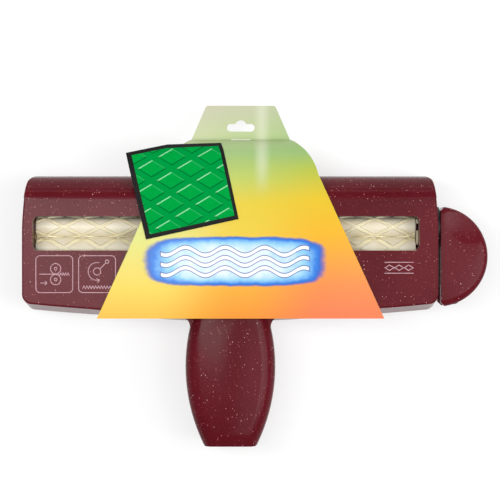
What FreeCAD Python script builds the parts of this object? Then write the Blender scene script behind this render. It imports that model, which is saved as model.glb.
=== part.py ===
"""Hand-cranked paper crimper with a fold-out crank grip and a removable hang card.

Sizes are in millimetres. The crimper lies on its back, so +Z points out of its front face.
X runs along the rollers towards the crank, and -Y runs down the handle.
The parts are drawn about the middle of the nip, then moved so that the origin is
under the middle of the whole object's box, on the surface that it lies on.
"""
import os
import FreeCAD
import Part
from math import acos, asin, cos, pi, radians, sin, sqrt, tan

V = FreeCAD.Vector
X_AXIS = V(1, 0, 0)
Z_AXIS = V(0, 0, 1)

# Past every part in any direction, for cutters and half spaces
FAR = 200.0

# Rounded edges that follow an arc are made of this many flat or conical steps
ROUND_STEPS = 4

# Body
BODY_HALF_WIDTH = 122.0
BODY_TOP = 36.7
BODY_FOOT_MIDDLE = -47.0
BODY_FOOT_BOW_RADIUS = 604.0
FOOT_DRAFT = 3.0
BACK_DRAFT = 0.8
BACK_Z = 1.5
PARTING_Z = 18.0
FACE_Z = 41.2
BROW_Z = 42.0
BROW_START = 24.0
SHOULDER = V(0, 30.0, 37.5)
BROW_BEND = V(0, 27.6, 40.3)
WALL = 2.2
FOOT_CORNER = 6.5
TOP_CORNER = 4.5
FRONT_EDGE_BEVEL = 0.9
BACK_EDGE_BEVEL = 1.5
CREASE_MIDDLE = 19.2
CREASE_END = 23.0

# Windows that the paper goes through
WINDOW_LEFT = -116.0
WINDOW_RIGHT = 111.0
WINDOW_TOP = 12.4
WINDOW_FOOT = -7.7
WINDOW_CORNER = 3.3
SKIRT_WALL = 1.5
SKIRT_END_Z = 26.3
BACK_WINDOW_LEFT = -113.0
BACK_WINDOW_RIGHT = 107.0
BACK_WINDOW_HALF_HEIGHT = 8.0
BACK_SKIRT_END_Z = 14.5

# Rollers, shafts and gears
AXIS_Z = 22.0
CENTRE_DISTANCE = 12.6
ROLLER_LEFT = -115.1
ROLLER_RIGHT = 109.6
RIDGE_TIP_RADIUS = 6.3
RIDGE_FOOT_RADIUS = 5.6
PAD_TIP_RADIUS = 6.5
PAD_FOOT_RADIUS = 5.8
LATTICE_PITCH = 21.67
LATTICE_ROWS = 6
FIRST_CROSSING = -98.8
RIDGE_HALF_WIDTH = 0.55
GROOVE_HALF_WIDTH = 1.15
CELL_LOW = 0.42
CELL_HIGH = 1.3
ROLLER_RELIEF_RADIUS = 7.2
ROLLER_END_GAP = 0.4
SHAFT_RADIUS = 2.0
BEARING_CLEARANCE = 0.05
GEAR_MODULE = 0.9
GEAR_TEETH = 14
GEAR_ROOT_DEPTH = 1.2
GEAR_WIDTH = 4.2
GEAR_X = 113.3
SHAFT_LEFT = -119.2
SHAFT_RIGHT = 128.0
SHAFT_FLAT = 1.4
SHAFT_HOLE_CLEARANCE = 0.4
SHAFT_HOLE_START_X = 115.0
GEAR_BACKLASH = 0.16
PRESSURE_ANGLE = radians(20)

# Bearing brackets
BRACKET_THICKNESS = 2.5
LEFT_BRACKET_X = -118.6
RIGHT_BRACKET_X = 110.2
BRACKET_HALF_HEIGHT = 14.5
BRACKET_TOP_Z = 26.0
BRACKET_FOOT_Z = 3.9
BRACKET_TAB_LENGTH = 7.0
BRACKET_TAB_Y = 12.1
BRACKET_TAB_HALF = 2.3
BRACKET_TAB_Z = 6.7
BRACKET_TAB_THICKNESS = 2.5
BRACKET_CORNER = 2.0
BRACKET_SCREW_RADIUS = 1.2
BRACKET_SCREW_TIP_Z = 3.2
BRACKET_SCREW_HEAD_RADIUS = 2.3
BRACKET_SCREW_HEAD_HEIGHT = 1.6
BRACKET_POST_RADIUS = 2.6
WASHER_RADIUS = 3.5

# Screws that hold the two shells together, four round the rollers and two down the handle
SHELL_SCREWS = [(-98, 27), (98, 27), (-98, -27), (98, -27), (0, -58), (0, -108)]
SCREW_RADIUS = 1.5
SCREW_HEAD_RADIUS = 2.8
SCREW_HEAD_HEIGHT = 2.0
SCREW_CLEARANCE = 0.1
SCREW_HEAD_CLEARANCE = 0.3
SCREW_SLOT_HALF = 0.4
SCREW_SLOT_DEPTH = 1.0
SCREW_SEAT_Z = 7.0
SCREW_TIP_Z = 30.0
SCREW_POST_RADIUS = 3.8
# A height inside the back wall of both the body and the handle
POST_ROOT_Z = 3.5

# Pads that the crimper lies on
PADS = [(-108, 16), (108, 16), (-108, -18), (108, -18), (-10, -115), (10, -115)]
PAD_RADIUS = 4.0

# Crank
CRANK_FLAT_X = 124.0
CRANK_REACH = 28.0
CRANK_TOP = 18.3
CRANK_FOOT = -40.8
CRANK_HALF_DEPTH = 13.0
CRANK_RIM_ROUND = 4.0
CRANK_CORNER = 2.5
CRANK_WALL = 3.0
HUB_RADIUS = 11.9
HUB_X = 122.35
ARM_THICKNESS = 6.0
ARM_HALF_WIDTH = 7.0
ARM_HEAD_RADIUS = 7.3
ARM_HEAD_ROUND = 6.5
KNUCKLE_RADIUS = 4.0
CHEEK_CLEARANCE = 0.3
CHANNEL_CLEARANCE = 0.4
ARM_HUB_OVERLAP = 0.2
HINGE_X = 132.0
HINGE_Y = -35.5
HINGE_PIN_RADIUS = 1.5
HINGE_PIN_TOP = 32.0
HINGE_PIN_SUNK = 0.2
CHEEK_TOP_Y = -28.0
CRANK_SCREW_RADIUS = 1.0
CRANK_SCREW_TIP_X = 119.0
CRANK_SCREW_HEAD_RADIUS = 2.4
CRANK_SCREW_HEAD_HEIGHT = 1.6
CRANK_SCREW_SLOT_HALF = 0.3
CRANK_SCREW_SLOT_DEPTH = 0.7
CRANK_WASHER_THICKNESS = 0.6
CRANK_WASHER_RADIUS = 3.2
SCOOP_X = 141.5
SCOOP_Y = 11.3
SCOOP_RADIUS = 15.8
SCOOP_DEPTH = 1.6

# Handle
HANDLE_HALF_WIDTH = 26.6
HANDLE_WIDEST_Y = -76.2
HANDLE_SIDE_RADIUS = 105.0
HANDLE_END_Y = -123.2
HANDLE_BEVEL_LENGTH = 4.0
HANDLE_BEVEL_DEPTH = 2.5
HANDLE_CORNER = 2.4
HANDLE_BACK_Z = 3.0
HANDLE_FRONT_Z = 37.5
HANDLE_ROUND = 9.0
HANDLE_ROOT_Y = -40.0
FLARE_RADIUS = 5.5
FLARE_START_Y = -52.5
FLARE_BACK_Z = 8.0
FLARE_FRONT_Z = 32.5

# Hang card and crimped sample
CARD_MIDDLE_X = 6.1
CARD_THICKNESS = 0.5
CARD_FRONT_Z = 42.9
CARD_BACK_Z = 0.4
CARD_FOOT_Y = -47.5
CARD_FOOT_HALF = 84.0
CARD_BEND_Y = 37.0
CARD_BEND_HALF = 45.4
CARD_FOLD_HALF = 29.3
CARD_TOP_Y = 78.5
CARD_TOP_HALF = 20.5
CARD_TOP_CORNER = 1.8
SLOT_Y = 65.4
SLOT_HALF_WIDTH = 8.2
SLOT_HALF_HEIGHT = 2.3
SLOT_CORNER = 2.2
SLOT_EYE_RADIUS = 3.4
SLIT_HALF_WIDTH = 5.8
SLIT_HEIGHT = 0.6
MOUNT_THICKNESS = 0.3
SAMPLE_THICKNESS = 0.3
SAMPLE_SHRINK = 0.09
SAMPLE_BEND_ANGLE = radians(72)
SAMPLE_CORNERS = [(-49.2, -1.3), (5.0, 10.7), (-3.9, 51.3), (-5.5, 55.9), (-61.2, 49.6)]

CRANK_AXIS_Y = CENTRE_DISTANCE / 2
ORIGIN = V((CRANK_FLAT_X + CRANK_REACH - BODY_HALF_WIDTH) / 2, (CARD_TOP_Y + HANDLE_END_Y) / 2, 0)


def save(name, shape):
    """Move a part to the shared origin and write it."""
    shape = shape.copy()
    shape.translate(ORIGIN * -1)
    shape.exportStep("parts/%s.step" % name)


def line(a, b):
    return Part.LineSegment(a, b).toShape()


def arc(a, b, c):
    return Part.Arc(a, b, c).toShape()


def solid(edges, along):
    """A closed outline carried straight along a vector."""
    return Part.Face(Part.Wire(edges)).extrude(along)


def prism(points, along):
    """A closed outline of straight lines, carried along a vector."""
    return Part.Face(Part.makePolygon(points + points[:1])).extrude(along)


def box(x0, x1, y0, y1, z0, z1):
    return Part.makeBox(x1 - x0, y1 - y0, z1 - z0, V(x0, y0, z0))


def rod(radius, x0, x1, y, z=AXIS_Z):
    """A cylinder along X."""
    return Part.makeCylinder(radius, x1 - x0, V(x0, y, z), X_AXIS)


def post(radius, x, y, z0, z1):
    """A cylinder along Z."""
    return Part.makeCylinder(radius, z1 - z0, V(x, y, z0), Z_AXIS)


def upright_edges(shape, x=None, y=None):
    """Straight edges that run along Z, on one side of the shape if x or y says so."""
    found = []
    for edge in shape.Edges:
        a, b = edge.Vertexes[0].Point, edge.Vertexes[-1].Point
        upright = abs(a.z - b.z) > 0.9 * (a - b).Length > 0.1
        middle = (a + b) * 0.5
        if upright and (x is None or middle.x * x > 0) and (y is None or middle.y * y > 0):
            found.append(edge)
    return found


def body_block(z0, z1, inset, drop0, drop1, narrow0=0.0):
    """A tapering block over a wide cone that bows its foot, with its four corners rounded."""
    outlines = []
    for z, narrow in ((z0, narrow0), (z1, 0.0)):
        half = BODY_HALF_WIDTH - inset - narrow
        top, foot = BODY_TOP - inset, BODY_FOOT_MIDDLE - 10
        corners = [V(-half, top, z), V(half, top, z), V(half, foot, z), V(-half, foot, z)]
        outlines.append(Part.makePolygon(corners + corners[:1]))
    slab = Part.makeLoft(outlines, True, True)
    radius = BODY_FOOT_BOW_RADIUS - inset
    centre = V(0, BODY_FOOT_MIDDLE + BODY_FOOT_BOW_RADIUS, z0)
    block = slab.common(Part.makeCone(radius + drop0, radius + drop1, z1 - z0, centre))
    block = block.makeFillet(FOOT_CORNER - inset, upright_edges(block, y=-1))
    return block.makeFillet(TOP_CORNER - inset, upright_edges(block, y=1))


def brow_profile(inset):
    """The front half's section: a top that rolls back from the face, cut across the width."""
    roll = (SHOULDER.z - PARTING_Z) ** 2 + (BODY_TOP - SHOULDER.y) ** 2
    roll = roll / (2 * (BODY_TOP - SHOULDER.y))
    centre_y = BODY_TOP - roll
    turn = asin((SHOULDER.z - PARTING_Z) / roll)
    reach = roll - inset

    def on_roll(share):
        angle = share * turn
        return centre_y + reach * cos(angle), PARTING_Z + reach * sin(angle)

    half = BODY_HALF_WIDTH + 1
    start, bend, end = (V(-half, *on_roll(s)) for s in (0, 0.5, 1))
    crown = V(-half, BROW_START, BROW_Z - inset)
    round_middle = V(-half, BROW_BEND.y - 0.5 * inset, BROW_BEND.z - 0.8 * inset)
    floor = V(-half, -FAR, BROW_Z - inset)
    corner = V(-half, -FAR, PARTING_Z)
    edges = [arc(start, bend, end), arc(end, round_middle, crown)]
    edges += [line(crown, floor), line(floor, corner), line(corner, start)]
    return solid(edges, V(2 * half, 0, 0))


def handle_side(y):
    """A point on the arc that bows the handle's right side."""
    centre_x = HANDLE_HALF_WIDTH - HANDLE_SIDE_RADIUS
    rise = y - HANDLE_WIDEST_Y
    return V(centre_x + sqrt(HANDLE_SIDE_RADIUS ** 2 - rise ** 2), y, 0)


def rounded_disc(radius, x, y, back, front, r):
    """A disc across Z. Both its rims are rounded, in a few straight steps that follow an arc."""
    steps = [pi / 2 * k / ROUND_STEPS for k in range(ROUND_STEPS + 1)]
    rim = [V(radius - r + r * sin(a), 0, back + r - r * cos(a)) for a in steps]
    rim += [V(radius - r + r * cos(a), 0, front - r + r * sin(a)) for a in steps]
    outline = [V(0, 0, back)] + rim + [V(0, 0, front)]
    disc = Part.Face(Part.makePolygon(outline + outline[:1])).revolve(V(0, 0, 0), Z_AXIS, 360)
    disc.translate(V(x, y, 0))
    return disc


def handle_lens(side, inset):
    """A disc whose rim bows one side of the handle."""
    radius, x = HANDLE_SIDE_RADIUS - inset, side * (HANDLE_HALF_WIDTH - HANDLE_SIDE_RADIUS)
    zone = HANDLE_BACK_Z + inset, HANDLE_FRONT_Z - inset
    return rounded_disc(radius, x, HANDLE_WIDEST_Y, *zone, HANDLE_ROUND - inset)


def handle_block(inset):
    """The whole handle: where two wide discs overlap, cut off and bevelled at its end."""
    end_y = HANDLE_END_Y + inset
    block = handle_lens(1, inset).common(handle_lens(-1, inset))
    block = block.common(box(-FAR, FAR, end_y, HANDLE_ROOT_Y, 0, FAR))
    if inset:
        return block
    r = HANDLE_CORNER
    side_x = handle_side(end_y + r).x
    corner = box(side_x - r, FAR, end_y - r, end_y + r, 0, FAR)
    corner = corner.cut(post(r, side_x - r, end_y + r, 0, FAR))
    block = block.cut([corner, corner.mirror(V(0, 0, 0), X_AXIS)])
    for z, way in ((HANDLE_FRONT_Z, 1), (HANDLE_BACK_Z, -1)):
        low = V(-FAR, end_y, z - way * HANDLE_BEVEL_DEPTH)
        high = V(-FAR, end_y + HANDLE_BEVEL_LENGTH, z)
        out = V(-FAR, end_y, z)
        block = block.cut(prism([low, high, out], V(2 * FAR, 0, 0)))
    return block


def handle_flares():
    """The small webs, hollow-cornered in front view, that lead the body's foot into the handle."""
    webs = []
    for side in (-1, 1):
        corner = handle_side(FLARE_START_Y)
        inner = V(side * (corner.x - FLARE_RADIUS), FLARE_START_Y, 0)
        start = V(side * corner.x, FLARE_START_Y, 0)
        half_turn = FLARE_RADIUS * sqrt(0.5)
        bend = V(side * (corner.x + FLARE_RADIUS - half_turn), FLARE_START_Y + half_turn, 0)
        end = V(side * (corner.x + FLARE_RADIUS), FLARE_START_Y + FLARE_RADIUS, 0)
        root, inner_root = V(end.x, HANDLE_ROOT_Y, 0), V(inner.x, HANDLE_ROOT_Y, 0)
        edges = [line(inner, start), arc(start, bend, end), line(end, root)]
        edges += [line(root, inner_root), line(inner_root, inner)]
        web = solid(edges, V(0, 0, FLARE_FRONT_Z - FLARE_BACK_Z))
        web.translate(V(0, 0, FLARE_BACK_Z))
        webs.append(web)
    return webs


def rounded_window(window, wider, z0, z1):
    """A window's block, or the block that its skirt is cut from if it is wider by a wall."""
    left, right, foot, top = window
    block = box(left - wider, right + wider, foot - wider, top + wider, z0, z1)
    return block.makeFillet(WINDOW_CORNER + wider, upright_edges(block))


def screw_posts(radius, z0, z1):
    return [post(radius, x, y, z0, z1) for x, y in SHELL_SCREWS]


def roller_relief():
    """Room for both rollers behind the window skirts."""
    ends = ROLLER_LEFT - ROLLER_END_GAP, ROLLER_RIGHT + ROLLER_END_GAP
    return [rod(ROLLER_RELIEF_RADIUS, *ends, y) for y in (CRANK_AXIS_Y, -CRANK_AXIS_Y)]


def brow_cutter():
    """What lies in front of the lower face, up to the bowed crease."""
    half = BODY_HALF_WIDTH
    left, right = V(-half, CREASE_END, FACE_Z), V(half, CREASE_END, FACE_Z)
    left_low, right_low = V(-half, -FAR, FACE_Z), V(half, -FAR, FACE_Z)
    edges = [arc(left, V(0, CREASE_MIDDLE, FACE_Z), right), line(right, right_low)]
    edges += [line(right_low, left_low), line(left_low, left)]
    return solid(edges, V(0, 0, FAR))


def face_rim(shape):
    """The edges where the lower face meets the foot and the sides."""
    found = []
    for edge in shape.Edges:
        zone = edge.BoundBox
        flat = zone.ZLength < 0.01 and abs(zone.ZMin - FACE_Z) < 0.01
        at_side = zone.XMin > BODY_HALF_WIDTH - FOOT_CORNER or zone.XMax < FOOT_CORNER - BODY_HALF_WIDTH
        at_foot = zone.YMax < BODY_FOOT_MIDDLE / 2
        if flat and (at_side or at_foot):
            found.append(edge)
    return found


def front_shell():
    """Front half of the casing: face, window with its skirt, screw posts and half the handle."""
    body = body_block(PARTING_Z, BROW_Z + 1, 0, FOOT_DRAFT, 0)
    body = body.common(brow_profile(0)).cut(brow_cutter())
    body = body.makeChamfer(FRONT_EDGE_BEVEL, face_rim(body))
    handle = handle_block(0).fuse(handle_flares()).common(box(-FAR, FAR, -FAR, FAR, PARTING_Z, FAR))
    outer = body.fuse(handle)
    room = body_block(PARTING_Z - 1, FACE_Z - WALL, WALL, FOOT_DRAFT, 0).common(brow_profile(WALL))
    shell = outer.cut([room, handle_block(WALL)])
    window = WINDOW_LEFT, WINDOW_RIGHT, WINDOW_FOOT, WINDOW_TOP
    skirt = rounded_window(window, SKIRT_WALL, SKIRT_END_Z, FACE_Z - WALL / 2)
    opening = rounded_window(window, 0, PARTING_Z, BROW_Z)
    posts = [p.common(outer) for p in screw_posts(SCREW_POST_RADIUS, PARTING_Z, BROW_Z)]
    shell = shell.fuse([skirt.cut(roller_relief())] + posts)
    shaft_hole = rod(SHAFT_RADIUS + SHAFT_HOLE_CLEARANCE, SHAFT_HOLE_START_X, FAR, CRANK_AXIS_Y)
    pilots = screw_posts(SCREW_RADIUS, PARTING_Z, SCREW_TIP_Z)
    return shell.cut([opening, shaft_hole] + pilots).removeSplitter()


def back_shell():
    """Back half of the casing, with the outlet window, resting pads and half the handle."""
    body = body_block(BACK_Z, PARTING_Z, 0, FOOT_DRAFT - BACK_DRAFT, FOOT_DRAFT, BACK_DRAFT)
    back_rim = [e for e in body.Edges if e.BoundBox.ZMax < BACK_Z + 0.01]
    body = body.makeChamfer(BACK_EDGE_BEVEL, back_rim)
    handle = handle_block(0).fuse(handle_flares()).common(box(-FAR, FAR, -FAR, FAR, 0, PARTING_Z))
    outer = body.fuse(handle)
    room = body_block(BACK_Z + WALL, PARTING_Z + 1, WALL, FOOT_DRAFT - BACK_DRAFT, FOOT_DRAFT)
    shell = outer.cut([room, handle_block(WALL)])
    window = BACK_WINDOW_LEFT, BACK_WINDOW_RIGHT, -BACK_WINDOW_HALF_HEIGHT, BACK_WINDOW_HALF_HEIGHT
    skirt = rounded_window(window, SKIRT_WALL, BACK_Z + WALL / 2, BACK_SKIRT_END_Z)
    opening = rounded_window(window, 0, 0, PARTING_Z)
    added = [skirt.cut(roller_relief())]
    added += screw_posts(SCREW_POST_RADIUS, POST_ROOT_Z, PARTING_Z)
    added += [post(PAD_RADIUS, x, y, 0, POST_ROOT_Z) for x, y in PADS]
    added += [post(BRACKET_POST_RADIUS, x, y, POST_ROOT_Z, BRACKET_TAB_Z) for x, y in tab_screw_places()]
    shell = shell.fuse(added)
    cuts = [opening]
    cuts += screw_posts(SCREW_RADIUS + SCREW_CLEARANCE, 0, PARTING_Z)
    cuts += screw_posts(SCREW_HEAD_RADIUS + SCREW_HEAD_CLEARANCE, 0, SCREW_SEAT_Z)
    cuts += [post(BRACKET_SCREW_RADIUS, x, y, BRACKET_SCREW_TIP_Z, FAR) for x, y in tab_screw_places()]
    return shell.cut(cuts).removeSplitter()


def shell_screws():
    screws = []
    for x, y in SHELL_SCREWS:
        top = SCREW_SEAT_Z - SCREW_HEAD_HEIGHT
        head = post(SCREW_HEAD_RADIUS, x, y, top, SCREW_SEAT_Z)
        reach, half = SCREW_HEAD_RADIUS, SCREW_SLOT_HALF
        slot = box(x - reach, x + reach, y - half, y + half, top, top + SCREW_SLOT_DEPTH)
        screws.append(head.fuse(post(SCREW_RADIUS, x, y, SCREW_SEAT_Z, SCREW_TIP_Z)).cut(slot))
    return Part.makeCompound(screws)


def tab_screw_places():
    left = LEFT_BRACKET_X + BRACKET_THICKNESS + BRACKET_TAB_LENGTH / 2
    right = RIGHT_BRACKET_X - BRACKET_TAB_LENGTH / 2
    return [(x, side * BRACKET_TAB_Y) for x in (left, right) for side in (-1, 1)]


def bearing_bracket(x, inward):
    """An upright plate with a slot open to the front for each shaft, and two screwed tabs."""
    half = BRACKET_HALF_HEIGHT
    plate = box(x, x + BRACKET_THICKNESS, -half, half, BRACKET_FOOT_Z, BRACKET_TOP_Z)
    along_x = [e for e in plate.Edges if e.BoundBox.XLength > BRACKET_THICKNESS / 2]
    plate = plate.makeFillet(BRACKET_CORNER, [e for e in along_x if e.BoundBox.ZMin > AXIS_Z])
    root = x + BRACKET_THICKNESS if inward > 0 else x
    reach = root + inward * BRACKET_TAB_LENGTH
    low, high = sorted((root, reach))
    tab_top_z = BRACKET_TAB_Z + BRACKET_TAB_THICKNESS
    tabs, holes = [], []
    for side in (-1, 1):
        y, r = side * BRACKET_TAB_Y, BRACKET_TAB_HALF
        tabs.append(box(low, high, y - r, y + r, BRACKET_TAB_Z, tab_top_z))
        holes.append(post(BRACKET_SCREW_RADIUS + SCREW_CLEARANCE, (root + reach) / 2, y, 0, tab_top_z))
        y, r = side * CRANK_AXIS_Y, SHAFT_RADIUS + BEARING_CLEARANCE
        holes.append(box(x, x + BRACKET_THICKNESS, y - r, y + r, AXIS_Z, BRACKET_TOP_Z))
        holes.append(rod(r, x, x + BRACKET_THICKNESS, y))
    return plate.fuse(tabs).cut(holes).removeSplitter()


def bracket_screws():
    screws = []
    seat = BRACKET_TAB_Z + BRACKET_TAB_THICKNESS
    for x, y in tab_screw_places():
        head = post(BRACKET_SCREW_HEAD_RADIUS, x, y, seat, seat + BRACKET_SCREW_HEAD_HEIGHT)
        screws.append(head.fuse(post(BRACKET_SCREW_RADIUS, x, y, BRACKET_SCREW_TIP_Z, seat)))
    return Part.makeCompound(screws)


def cell_tips(z, inset):
    """Half length and half width of a lattice cell at a height above the roller's axis.

    A cell's four walls are planes. Each holds the roller's radius that is a quarter of a
    pitch along and half a row round, and the chord between the two crossings beside it.
    """
    row = 2 * pi / LATTICE_ROWS
    radius_line = V(0, sin(row / 2), cos(row / 2))
    chord = V(-LATTICE_PITCH / 2, sin(row), cos(row) - 1)
    chord = V(chord.x, chord.y * RIDGE_FOOT_RADIUS, chord.z * RIDGE_FOOT_RADIUS)
    normal = chord.cross(radius_line)
    normal.normalize()
    level = normal.x * LATTICE_PITCH / 4 - inset - normal.z * z
    return level / normal.x, level / normal.y


def lattice_cell(x, row, inset, axis_y):
    """The wedge of space between four ridges, as a closed solid with flat walls."""
    low_z, high_z = CELL_LOW * RIDGE_FOOT_RADIUS, CELL_HIGH * RIDGE_TIP_RADIUS
    rings = []
    for z in (low_z, high_z):
        long_tip, side_tip = cell_tips(z, inset)
        rings.append([V(x + long_tip, 0, z), V(x, side_tip, z), V(x - long_tip, 0, z), V(x, -side_tip, z)])
    faces = [Part.makePolygon(ring + ring[:1]) for ring in rings]
    for k in range(4):
        quad = [rings[0][k - 1], rings[0][k], rings[1][k], rings[1][k - 1]]
        faces.append(Part.makePolygon(quad + quad[:1]))
    cell = Part.Solid(Part.Shell([Part.Face(wire) for wire in faces]))
    if cell.Volume < 0:
        cell.reverse()
    cell.rotate(V(0, 0, 0), X_AXIS, -row * 360 / LATTICE_ROWS)
    cell.translate(V(0, axis_y, AXIS_Z))
    return cell


def lattice_cells(inset, axis_y):
    """Every cell that reaches a roller, in rows that are half a pitch apart."""
    reach = 0.38 * LATTICE_PITCH
    cells = []
    for row in range(LATTICE_ROWS):
        x = FIRST_CROSSING - LATTICE_PITCH
        if row % 2 == 0:
            x += LATTICE_PITCH / 2
        while x < ROLLER_RIGHT + reach:
            if x > ROLLER_LEFT - reach:
                cells.append(lattice_cell(x, row, inset, axis_y))
            x += LATTICE_PITCH
    return cells


def roller_core(radius, y):
    return rod(radius, ROLLER_LEFT, ROLLER_RIGHT, y)


def upper_roller():
    """Raised ridges that cross in a lattice, left standing between cut cells."""
    ridges = roller_core(RIDGE_TIP_RADIUS, CRANK_AXIS_Y)
    ridges = ridges.cut(lattice_cells(RIDGE_HALF_WIDTH, CRANK_AXIS_Y))
    roller = ridges.fuse(roller_core(RIDGE_FOOT_RADIUS, CRANK_AXIS_Y))
    return roller.cut(roller_core(SHAFT_RADIUS, CRANK_AXIS_Y))


def lower_roller():
    """Raised pads with grooves between them that the upper roller's ridges dip into."""
    cells = Part.makeCompound(lattice_cells(GROOVE_HALF_WIDTH, -CRANK_AXIS_Y))
    pads = roller_core(PAD_TIP_RADIUS, -CRANK_AXIS_Y).common(cells)
    roller = roller_core(PAD_FOOT_RADIUS, -CRANK_AXIS_Y).fuse(pads)
    return roller.cut(roller_core(SHAFT_RADIUS, -CRANK_AXIS_Y))


def drive_shaft():
    """Runs from the left bracket to the crank arm, with a flat and a tapped end."""
    shaft = rod(SHAFT_RADIUS, SHAFT_LEFT, SHAFT_RIGHT, CRANK_AXIS_Y)
    flat = box(HUB_X, SHAFT_RIGHT, -FAR, FAR, AXIS_Z + SHAFT_FLAT, FAR)
    tapped = rod(CRANK_SCREW_RADIUS, CRANK_SCREW_TIP_X, SHAFT_RIGHT, CRANK_AXIS_Y)
    return shaft.cut([flat, tapped])


def involute(base, radius, turn):
    """A point on the involute of the base circle, out at the radius, turned by an angle."""
    roll = acos(min(base / radius, 1))
    angle = tan(roll) - roll + turn
    return V(0, radius * sin(angle), radius * cos(angle))


def spur_gear(y, first_tooth):
    """A gear with involute teeth, cut across X. first_tooth is a tooth's angle from +Z, in degrees."""
    pitch_radius = GEAR_MODULE * GEAR_TEETH / 2
    base = pitch_radius * cos(PRESSURE_ANGLE)
    tip, root = pitch_radius + GEAR_MODULE, pitch_radius - GEAR_ROOT_DEPTH * GEAR_MODULE
    spread = tan(PRESSURE_ANGLE) - PRESSURE_ANGLE
    half_tooth = pi / 2 / GEAR_TEETH - GEAR_BACKLASH / 2 / pitch_radius + spread
    flank = [involute(base, r, -half_tooth) for r in (base, (base + tip) / 2, tip)]
    rise = [flank[0] * (root / base)] + flank
    fall = [V(0, -p.y, p.z) for p in reversed(rise)]
    edges = []
    for k in range(GEAR_TEETH):
        turn = FreeCAD.Rotation(X_AXIS, -first_tooth - k * 360 / GEAR_TEETH)
        before = FreeCAD.Rotation(X_AXIS, -first_tooth - (k - 1) * 360 / GEAR_TEETH)
        up, down = [turn.multVec(p) for p in rise], [turn.multVec(p) for p in fall]
        edges += [line(before.multVec(fall[3]), up[0]), line(up[0], up[1]), arc(*up[1:])]
        edges += [arc(up[3], turn.multVec(V(0, 0, tip)), down[0]), arc(*down[:3]), line(down[2], down[3])]
    gear = solid(edges, V(GEAR_WIDTH, 0, 0))
    gear.translate(V(GEAR_X, y, AXIS_Z))
    return gear.cut(rod(SHAFT_RADIUS, GEAR_X, GEAR_X + GEAR_WIDTH, y))


def thrust_washers():
    washers = []
    gaps = [(LEFT_BRACKET_X + BRACKET_THICKNESS, ROLLER_LEFT), (ROLLER_RIGHT, RIGHT_BRACKET_X)]
    for x0, x1 in gaps:
        for y in (CRANK_AXIS_Y, -CRANK_AXIS_Y):
            ends = x0 + BEARING_CLEARANCE, x1 - BEARING_CLEARANCE
            bore = rod(SHAFT_RADIUS + BEARING_CLEARANCE, *ends, y)
            washers.append(rod(WASHER_RADIUS, *ends, y).cut(bore))
    return Part.makeCompound(washers)


def crank_block(inset, half_depth, rim_round):
    """The crank's half round: a disc cut off flat, as wide as its two corners and its reach ask."""
    half_height = (CRANK_TOP - CRANK_FOOT) / 2
    radius = (half_height ** 2 + CRANK_REACH ** 2) / (2 * CRANK_REACH)
    middle_x, middle_y = CRANK_FLAT_X + CRANK_REACH - radius, (CRANK_TOP + CRANK_FOOT) / 2
    zone = AXIS_Z - half_depth, AXIS_Z + half_depth
    disc = rounded_disc(radius - inset, middle_x, middle_y, *zone, rim_round)
    return disc.common(box(CRANK_FLAT_X, FAR, -FAR, FAR, 0, FAR))


def crank_grip():
    """Hollow half round that covers the arm, with a thumb scoop and two hinge cheeks."""
    grip = crank_block(0, CRANK_HALF_DEPTH, CRANK_RIM_ROUND)
    for y, way in ((CRANK_TOP, 1), (CRANK_FOOT, -1)):
        tip = V(CRANK_FLAT_X, y, 0)
        corner = [tip, tip + V(CRANK_CORNER, 0, 0), tip - V(0, way * CRANK_CORNER, 0)]
        grip = grip.cut(prism(corner, V(0, 0, FAR)))
    room = crank_block(CRANK_WALL, CRANK_HALF_DEPTH - CRANK_WALL, CRANK_RIM_ROUND - CRANK_WALL)
    room = room.common(box(0, FAR, CHEEK_TOP_Y, FAR, 0, FAR))
    half = ARM_HALF_WIDTH + CHEEK_CLEARANCE
    z0, z1 = AXIS_Z - half, AXIS_Z + half
    channel = box(0, CRANK_FLAT_X + ARM_THICKNESS + CHANNEL_CLEARANCE, -FAR, CHEEK_TOP_Y, z0, z1)
    below = box(0, HINGE_X, -FAR, HINGE_Y, z0, z1)
    knuckle = post(KNUCKLE_RADIUS + CHANNEL_CLEARANCE, HINGE_X, HINGE_Y, z0, z1)
    ball_radius = (SCOOP_RADIUS ** 2 + SCOOP_DEPTH ** 2) / (2 * SCOOP_DEPTH)
    ball_z = AXIS_Z + CRANK_HALF_DEPTH - SCOOP_DEPTH + ball_radius
    scoop = Part.makeSphere(ball_radius, V(SCOOP_X, SCOOP_Y, ball_z))
    pin_hole = post(HINGE_PIN_RADIUS, HINGE_X, HINGE_Y, 0, HINGE_PIN_TOP)
    return grip.cut([room, channel, below, knuckle, scoop, pin_hole]).removeSplitter()


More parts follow.
